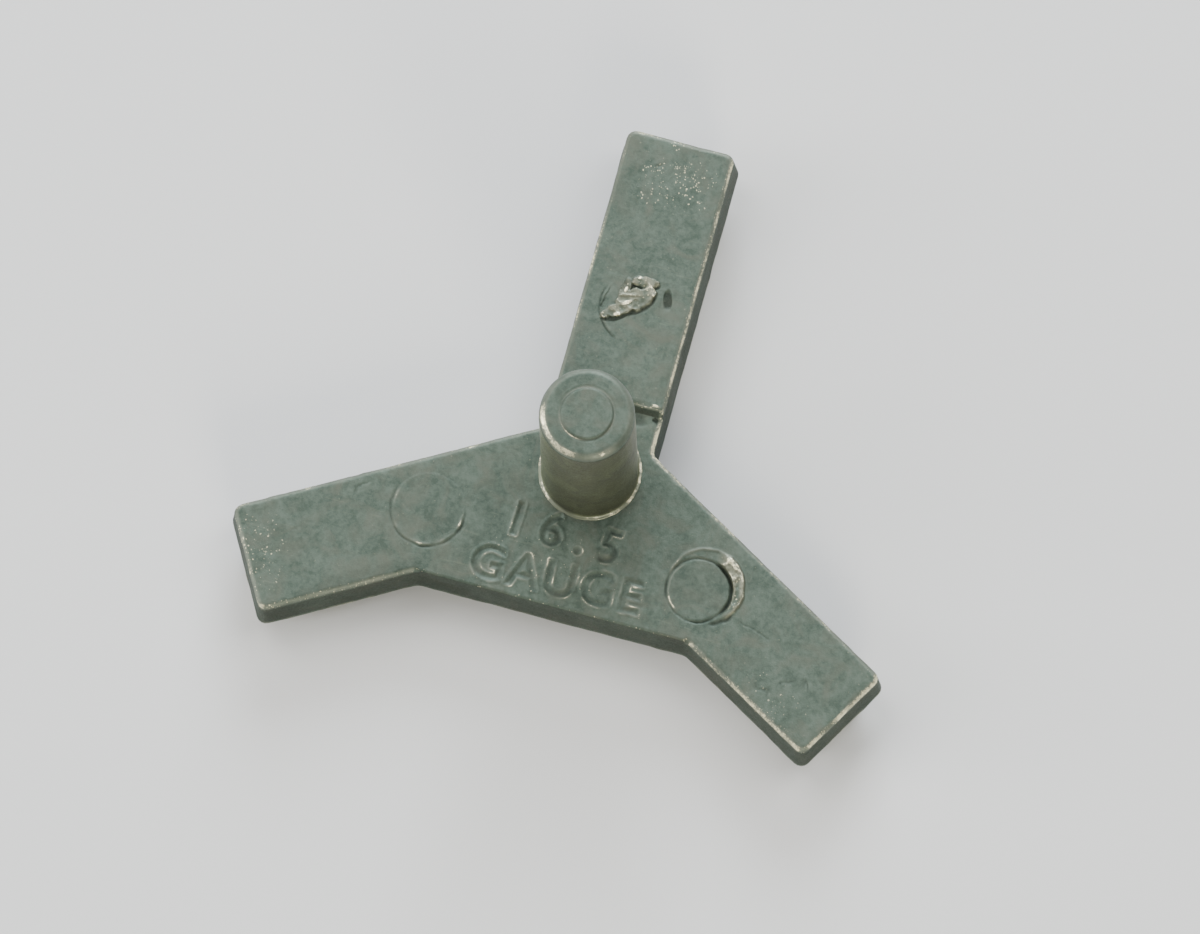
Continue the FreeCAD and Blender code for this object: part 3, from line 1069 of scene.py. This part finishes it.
@dataclass
class FeetSkin:
    """The three feet that sit on the rails."""

    root_level: float
    gauge: float = 16.5
    rail_head: float = 0.9
    edge_radius: float = 0.07
    sharp_turn: float = math.radians(40.0)
    lower_part: float = 0.3
    sole_wear: float = 0.55
    side_wear: float = 0.15

    def build(self, material: Material) -> Object:
        """Build the feet's skin.

        Args:
            material: Its finish.

        Returns:
            The piece.
        """
        spacing = self.gauge + self.rail_head
        bm = bmesh.new()
        for arm in Arm:
            slot_y = spacing * 2 / 3 if arm is Arm.SINGLE else -spacing / 3
            mesh = Foot(arm, self.root_level, slot_y).form()
            bm.from_mesh(mesh)
            bpy.data.meshes.remove(mesh)
        bmesh.ops.remove_doubles(bm, verts=bm.verts, dist=WELD)
        bm.normal_update()
        sharp = []
        for edge in bm.edges:
            below = max(vert.co.z for vert in edge.verts) < self.root_level
            between = len(edge.link_faces) == 2
            if below and between and edge.calc_face_angle(0.0) > self.sharp_turn:
                sharp.append(edge)
        wear = channel_layers(bm)[Channel.WEAR]
        rounded = round_edges(bm, sharp, self.edge_radius, segments=3)
        for vert in {vert for face in rounded for vert in face.verts}:
            vert[wear] = self.sole_wear if vert.co.z < self.lower_part else self.side_wear
        bmesh.ops.dissolve_degenerate(bm, dist=WELD, edges=bm.edges)
        bmesh.ops.recalc_face_normals(bm, faces=bm.faces)
        return finish_mesh(bm, "feet_skin", material)


# ---------------------------------------------------------------- finishes

Socket = bpy.types.NodeSocket
# The colour sockets of a mix node, whose names it shares with other kinds of value.
COLOUR_A, COLOUR_B, COLOUR_RESULT = 6, 7, 2


@dataclass
class Wiring:
    """Adds nodes to one tree and joins them."""

    tree: bpy.types.NodeTree

    def feed(self, target: Socket, source: Socket | float | Triple) -> None:
        """Link a socket to its source, or set it to a fixed value."""
        if isinstance(source, Socket):
            self.tree.links.new(source, target)
        else:
            target.default_value = source

    def add(self, kind: str, inputs: dict, **settings: str) -> bpy.types.Node:
        """Add one node.

        Args:
            kind: Its type, without the word ShaderNode.
            inputs: The source or fixed value of each input, by its name or number.
            settings: The node's own choices.

        Returns:
            The node.
        """
        node = self.tree.nodes.new("ShaderNode" + kind)
        for name, choice in settings.items():
            setattr(node, name, choice)
        for name, source in inputs.items():
            self.feed(node.inputs[name], source)
        return node

    def math(self, operation: str, *values: Socket | float) -> Socket:
        """Add a math node and return its result."""
        return self.add("Math", dict(enumerate(values)), operation=operation).outputs[0]

    def remap(self, value: Socket, source: tuple, target: tuple = (0.0, 1.0)) -> Socket:
        """Map a value from a source range to a target range, and return it."""
        names = ("From Min", "From Max", "To Min", "To Max")
        inputs = dict(zip(names, (*source, *target)))
        return self.add("MapRange", {"Value": value, **inputs}).outputs["Result"]

    def noise(self, place: Socket, scale: float, detail: float, roughness: float,
              distortion: float = 0.0) -> Socket:
        """Add a noise texture and return its value."""
        inputs = {"Vector": place, "Scale": scale, "Detail": detail,
                  "Roughness": roughness, "Distortion": distortion}
        return self.add("TexNoise", inputs).outputs["Fac"]

    def blend(self, mask: Socket, low: Socket | Triple, high: Socket | Triple) -> Socket:
        """Mix two colours by a mask and return the mixture."""
        low, high = ((*item, 1.0) if isinstance(item, tuple) else item for item in (low, high))
        inputs = {"Factor": mask, COLOUR_A: low, COLOUR_B: high}
        return self.add("Mix", inputs, data_type="RGBA").outputs[COLOUR_RESULT]


@dataclass(frozen=True)
class MaskGroup:
    """A node group that turns places, and a channel, into masks."""

    name: str
    channels: tuple[str, ...]
    masks: tuple[str, ...]

    def _wire(self, wiring: Wiring, place: Socket, entry: bpy.types.Node) -> list[Socket]:
        """Add the group's own nodes.

        Args:
            wiring: The group's tree.
            place: The scaled place.
            entry: The node that brings in the channels.

        Returns:
            The source of each mask, in order.
        """
        raise NotImplementedError

    def build(self) -> bpy.types.NodeTree:
        """Return the group, built once."""
        if self.name in bpy.data.node_groups:
            return bpy.data.node_groups[self.name]
        tree = bpy.data.node_groups.new(self.name, "ShaderNodeTree")
        for label in (*self.channels, "Scale"):
            tree.interface.new_socket(label, in_out="INPUT", socket_type="NodeSocketFloat")
        for label in self.masks:
            tree.interface.new_socket(label, in_out="OUTPUT", socket_type="NodeSocketFloat")
        entry = tree.nodes.new("NodeGroupInput")
        leave = tree.nodes.new("NodeGroupOutput")
        wiring = Wiring(tree)
        coords = wiring.add("TexCoord", {}).outputs["Object"]
        scaled = wiring.add("VectorMath", {}, operation="SCALE")
        wiring.feed(scaled.inputs[0], coords)
        wiring.feed(scaled.inputs["Scale"], entry.outputs["Scale"])
        sources = self._wire(wiring, scaled.outputs["Vector"], entry)
        for label, source in zip(self.masks, sources, strict=True):
            wiring.feed(leave.inputs[label], source)
        return tree


@dataclass(frozen=True)
class CastSkinGroup(MaskGroup):
    """The mottle, grain, pits, hairline scratches and tint of a die-cast skin."""

    name: str = "cast_skin"
    channels: tuple[str, ...] = ()
    masks: tuple[str, ...] = ("Mottle", "Grain", "Pits", "Scratches", "Tint")
    cloud_share: float = 0.5
    pit_scale: float = 5.0
    pit_range: Pair = (0.04, 0.16)
    pit_clouds: float = 0.58
    scratch_turns: tuple[Pair, ...] = ((0.5, 0.07), (2.2, 0.09))
    scratch_range: Pair = (0.70, 0.74)

    def _scratches(self, wiring: Wiring, place: Socket) -> Socket:
        """Add fine hairline scratches in two directions and return their mask."""
        masks = []
        for turn, stretch in self.scratch_turns:
            inputs = {"Vector": place, "Rotation": (0.0, 0.0, turn), "Scale": (stretch, 1.0, 0.5)}
            drawn = wiring.add("Mapping", inputs).outputs["Vector"]
            streak = wiring.noise(drawn, 9.0, 2.0, 0.5, 0.2)
            masks.append(wiring.remap(streak, self.scratch_range))
        return wiring.math("MAXIMUM", *masks)

    def _wire(self, wiring: Wiring, place: Socket, entry: bpy.types.Node) -> list[Socket]:
        """Add the group's own nodes and return the source of each mask."""
        clouds = wiring.noise(place, 1.1, 5.0, 0.62, 0.6)
        blotch = wiring.noise(place, 5.0, 5.0, 0.7, 0.3)
        shares = {"Factor": self.cloud_share, "A": clouds, "B": blotch}
        mottle = wiring.add("Mix", shares).outputs["Result"]
        grain = wiring.noise(place, 14.0, 4.0, 0.65)
        cells = wiring.add("TexVoronoi", {"Vector": place, "Scale": self.pit_scale})
        pits = wiring.remap(cells.outputs["Distance"], self.pit_range, (1.0, 0.0))
        sieve = wiring.math("GREATER_THAN", clouds, self.pit_clouds)
        tint = wiring.noise(place, 0.7, 3.0, 0.6, 1.2)
        scratches = self._scratches(wiring, place)
        return [mottle, grain, wiring.math("MULTIPLY", pits, sieve), scratches, tint]


@dataclass(frozen=True)
class RubAndHighlightGroup(MaskGroup):
    """The first channel's speckled bright metal and painted highlights, and the even painted sheen
    round them.
    """

    name: str = "rubbed_metal"
    channels: tuple[str, ...] = ("Wear",)
    masks: tuple[str, ...] = ("Bright", "Halo")
    bright_range: Pair = (1.16, 1.42)
    halo_range: Pair = (0.05, 0.85)

    def _wire(self, wiring: Wiring, place: Socket, entry: bpy.types.Node) -> list[Socket]:
        """Add the group's own nodes and return the source of each mask."""
        wear = entry.outputs["Wear"]
        total = wiring.math("ADD", wiring.noise(place, 8.0, 5.0, 0.7), wear)
        return [wiring.remap(total, self.bright_range), wiring.remap(wear, self.halo_range)]


@dataclass(frozen=True)
class SparkleGroup(MaskGroup):
    """The fourth channel's small round grains, a few of them painted bright as glints."""

    name: str = "sparkle"
    channels: tuple[str, ...] = ("Grit",)
    masks: tuple[str, ...] = ("Bright", "Grain")
    grain_scale: float = 13.0
    ragged_scale: float = 12.0
    ragged_shift: Triple = (0.10, 0.10, 0.10)
    grain_core: float = 0.08
    grain_breadths: Pair = (0.16, 0.52)
    bright_share: float = 0.26
    bright_range: Pair = (1.0, 1.20)
    most_bright: float = 0.85

    def _wire(self, wiring: Wiring, place: Socket, entry: bpy.types.Node) -> list[Socket]:
        """Add the group's own nodes and return the source of each mask."""
        grit = entry.outputs["Grit"]
        ragged = wiring.add("TexNoise", {"Vector": place, "Scale": self.ragged_scale})
        shift = {0: ragged.outputs["Color"], 1: self.ragged_shift, 2: place}
        nudge = wiring.add("VectorMath", shift, operation="MULTIPLY_ADD").outputs["Vector"]
        cells = wiring.add("TexVoronoi", {"Vector": nudge, "Scale": self.grain_scale})
        parts = wiring.add("SeparateColor", {"Color": cells.outputs["Color"]}).outputs
        breadth = wiring.remap(parts["Green"], (0.0, 1.0), self.grain_breadths)
        edges = (self.grain_core, breadth)
        grains = wiring.remap(cells.outputs["Distance"], edges, (1.0, 0.0))
        share = wiring.math("MULTIPLY_ADD", grit, self.bright_share, parts["Red"])
        chosen = wiring.remap(share, self.bright_range, (0.0, self.most_bright))
        modest = wiring.math("MINIMUM", grit, 1.0)
        return [wiring.math("MULTIPLY", chosen, grains), wiring.math("MULTIPLY", modest, grains)]


@dataclass(frozen=True)
class CastZinc:
    """Dull as-cast zinc alloy with a faint green-blue cast."""

    name: str = "cast_zinc_skin"
    dark: Triple = (0.054, 0.077, 0.058)
    light: Triple = (0.100, 0.131, 0.102)
    warm: Triple = (0.100, 0.111, 0.084)
    # Colour of rub-polished metal, painted highlights, glints and hairline scratches.
    bright: Triple = (0.88, 0.82, 0.54)
    torn: Triple = (0.190, 0.190, 0.130)
    # Colour of the painted sheen along the rounded edges.
    halo: Triple = (0.200, 0.215, 0.165)
    # Colour of dirt and of painted shade.
    soil: Triple = (0.014, 0.019, 0.013)
    scratch_share: float = 0.02
    soil_share: float = 0.75
    halo_share: float = 0.8
    roughness: float = 0.55
    bright_roughness: float = 0.32
    metallic: float = 0.60
    bump: float = 0.22
    bump_height: float = 0.03
    mottle_height: float = 2.0
    cells_per_metre: float = 1000.0

    def _group(self, wiring: Wiring, group: MaskGroup, **channels: Socket) -> dict[str, Socket]:
        """Add a group's node and return its masks, by name."""
        node = wiring.add("Group", {}, node_tree=group.build())
        for label, source in {"Scale": self.cells_per_metre, **channels}.items():
            wiring.feed(node.inputs[label], source)
        return {socket.name: socket for socket in node.outputs}

    def build(self) -> Material:
        """Return the finished material."""
        material = bpy.data.materials.new(self.name)
        material.use_nodes = True
        shader = material.node_tree.nodes["Principled BSDF"]
        wiring = Wiring(material.node_tree)
        wear, torn, soil, grit = (
            wiring.add("Attribute", {}, attribute_name=channel.value).outputs["Fac"]
            for channel in Channel
        )
        skin = self._group(wiring, CastSkinGroup())
        rubbed_and_highlight = self._group(wiring, RubAndHighlightGroup(), Wear=wear)
        sparkle = self._group(wiring, SparkleGroup(), Grit=grit)
        shining = wiring.math("MAXIMUM", rubbed_and_highlight["Bright"], sparkle["Bright"])
        soil_and_shade_mask = wiring.math("MULTIPLY", soil, self.soil_share)

        layers = (
            (wiring.remap(skin["Tint"], (0.45, 0.70), (0.0, 0.8)), self.warm),
            (wiring.math("MULTIPLY", skin["Scratches"], self.scratch_share), self.bright),
            (soil_and_shade_mask, self.soil),
            (torn, self.torn),
            (wiring.math("MULTIPLY", rubbed_and_highlight["Halo"], self.halo_share), self.halo),
            (shining, self.bright),
        )
        colour = wiring.blend(wiring.remap(skin["Mottle"], (0.40, 0.60)), self.dark, self.light)
        for mask, over in layers:
            colour = wiring.blend(mask, colour, over)

        full = (0.0, 1.0)
        around = (self.roughness - 0.08, self.roughness + 0.10)
        grain = wiring.remap(skin["Grain"], (0.3, 0.7), around)
        polished = self.bright_roughness / self.roughness
        for mask, factor in ((shining, polished), (soil_and_shade_mask, 1.5), (torn, 0.6)):
            grain = wiring.math("MULTIPLY", grain, wiring.remap(mask, full, (1.0, factor)))

        height = wiring.math("SUBTRACT", skin["Grain"], skin["Pits"])
        dents = wiring.math("MULTIPLY", skin["Mottle"], self.mottle_height)
        height = wiring.math("ADD", wiring.math("ADD", height, dents), sparkle["Grain"])
        bump = wiring.add("Bump", {"Strength": self.bump, "Distance": self.bump_height * MM,
                                   "Height": height})
        for label, source in (("Base Color", colour), ("Metallic", self.metallic),
                              ("Roughness", grain), ("Normal", bump.outputs["Normal"])):
            wiring.feed(shader.inputs[label], source)
        return material


# ---------------------------------------------------------------- studio


@dataclass(frozen=True)
class Softbox:
    """One square soft light aimed at the gauge."""

    name: str
    place: Triple
    size: float
    power: float
    colour: Triple = (1.0, 1.0, 1.0)

    def build(self) -> None:
        """Create the light."""
        data = bpy.data.lights.new(self.name, "AREA")
        data.shape = "SQUARE"
        data.size = self.size * MM
        data.energy = self.power
        data.color = self.colour
        light = add_object(self.name, data)
        light.location = Vector(self.place) * MM
        light.rotation_euler = Vector(self.place).to_track_quat("Z", "Y").to_euler()


@dataclass
class Studio:
    """Pale floor, soft light and the camera."""

    aim: Triple = (0.33, 0.20, 2.95)
    distance: float = 261.5
    angles: Triple = (14.10, 0.71, 15.37)
    lens: float = 210.0
    sensor: float = 36.0
    clip: Pair = (0.01, 10.0)
    floor_half: float = 400.0
    floor_colour: Triple = (0.72, 0.72, 0.71)
    floor_roughness: float = 0.8
    surround: Triple = (0.90, 0.95, 1.0)
    surround_strength: float = 0.22
    softboxes: tuple[Softbox, ...] = (
        Softbox("overhead_left", (-210.0, 130.0, 390.0), 260.0, 1.0),
        Softbox("overhead_right", (190.0, 150.0, 390.0), 260.0, 0.9),
        Softbox("fill", (-320.0, -120.0, 240.0), 220.0, 0.7),
        Softbox("front", (170.0, -290.0, 170.0), 130.0, 1.0, (1.0, 0.94, 0.79)),
        Softbox("side", (-330.0, -90.0, 70.0), 110.0, 0.55),
        Softbox("rim", (-60.0, 400.0, 210.0), 240.0, 3.0, (0.86, 0.93, 1.0)),
    )

    def camera(self) -> None:
        """Create the camera and make it the scene's."""
        data = bpy.data.cameras.new("camera")
        data.lens = self.lens
        data.sensor_width = self.sensor
        data.clip_start, data.clip_end = self.clip
        camera = add_object("camera", data)
        camera.rotation_euler = [math.radians(angle) for angle in self.angles]
        back = camera.rotation_euler.to_matrix() @ Vector((0.0, 0.0, self.distance))
        camera.location = (Vector(self.aim) + back) * MM
        bpy.context.scene.camera = camera

    def floor(self) -> None:
        """Create the pale floor."""
        bm = bmesh.new()
        bmesh.ops.create_grid(bm, x_segments=1, y_segments=1, size=self.floor_half * MM)
        material = bpy.data.materials.new("pale_floor")
        material.use_nodes = True
        shader = material.node_tree.nodes["Principled BSDF"]
        shader.inputs["Base Color"].default_value = (*self.floor_colour, 1.0)
        shader.inputs["Roughness"].default_value = self.floor_roughness
        floor = add_object("floor", bm, material)

    def lights(self) -> None:
        """Create the softboxes and the dim surround."""
        for softbox in self.softboxes:
            softbox.build()
        world = bpy.data.worlds.new("studio")
        world.use_nodes = True
        backdrop = world.node_tree.nodes["Background"]
        backdrop.inputs["Color"].default_value = (*self.surround, 1.0)
        backdrop.inputs["Strength"].default_value = self.surround_strength
        bpy.context.scene.world = world


# ---------------------------------------------------------------- assembly


def plate_marks() -> list[Mark]:
    """Return the lettering and every mark on the plate."""
    lettering = Lettering()
    lettering.prepare()
    scar_crease = [(-1.30, 6.2), (-1.16, 6.7), (-0.98, 7.1), (-0.56, 7.36)]
    return [
        lettering,
        PinMark(Circle(-5.43, -3.05, 1.42), strong_side=262.0, strong_spread=125.0, seed=1.0),
        PinMark(Circle(0.06, 6.44, 1.42), lift=0.0, groove_depth=0.035, groove_width=0.032,
                strong_side=205.0, strong_spread=58.0, shine=0.3, seed=2.0),
        CrescentBurr(),
        TornScar(),
        Dent(1.09, 7.03, 0.44, 0.20, 102.0, 0.08, 0.9),
        # Painted shade at the step's foot, beside the knob.
        Dent(0.95, 2.38, 0.80, 0.34, -10.0, 0.03, 0.6),
        Dent(1.90, 2.47, 0.17, 0.13, 0.0, 0.08, 1.0),
        PaintedGlint(1.76, 2.95, 0.24, 0.08, -8.0),
        PaintedGlint(-0.52, 7.02, 0.18, 0.09, 80.0),
        PaintedGlint(-0.14, 7.60, 0.15, 0.11, 0.0),
        PaintedGlint(-0.61, 5.99, 0.20, 0.10, 20.0),
        PaintedGlint(-0.36, 6.52, 0.34, 0.11, 36.0),
        Crease([(9.0, -6.0), (9.9, -5.7), (10.2, -6.3)]),
        Crease([(8.0, -5.9), (8.4, -6.5), (9.1, -6.9)], strength=0.5),
        Crease([(7.0, -4.2), (8.1, -4.6)], strength=0.35),
        Crease([(-8.6, -3.3), (-8.2, -2.8), (-7.7, -2.6)], strength=0.3),
        Crease([(-10.2, -5.2), (-9.7, -4.6)], strength=0.3),
        Crease([(-0.9, 11.9), (-0.2, 12.5), (0.1, 11.6)], strength=0.35),
        Crease(scar_crease, depth=0.04, wobble=0.12),
        Dent(-6.92, -6.02, 3.4, 0.34, 30.0, 0.0, 0.22),
        GritGlintPatch(0.4, 11.7, 2.2, 1.5, 0.0, 1.7),
        GritGlintPatch(-11.2, -6.0, 1.4, 2.0, 30.0, 1.0),
        GritGlintPatch(8.8, -6.7, 2.4, 1.1, -30.0, 1.0),
        GritGlintPatch(-0.2, -3.6, 3.4, 1.4, 0.0, 0.45),
    ]


def main() -> None:
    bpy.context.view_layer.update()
    low, high = (Vector(corner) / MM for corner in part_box(NODE))
    plate_top = high.z - KNOB_HEIGHT
    parting = low.z + FOOT_HEIGHT
    zinc = CastZinc().build()
    # A lighter, yellower copy of the zinc for the knob's side, painted brighter so the side does not
    # render too dark under these lamps.
    knob_zinc_lightened = CastZinc(name="cast_zinc_knob", roughness=0.46, dark=(0.135, 0.154, 0.094),
                         light=(0.188, 0.212, 0.132), soil=(0.022, 0.023, 0.013)).build()
    PlateSkin(parting, plate_top, high.y, marks=plate_marks()).build(zinc)
    KnobSkin(plate_top, high.z).build(knob_zinc_lightened, zinc)
    FeetSkin(parting).build(zinc)
    studio = Studio()
    studio.floor()
    studio.lights()
    studio.camera()


if __name__ == "__main__":
    logging.basicConfig(level=logging.INFO)
    main()
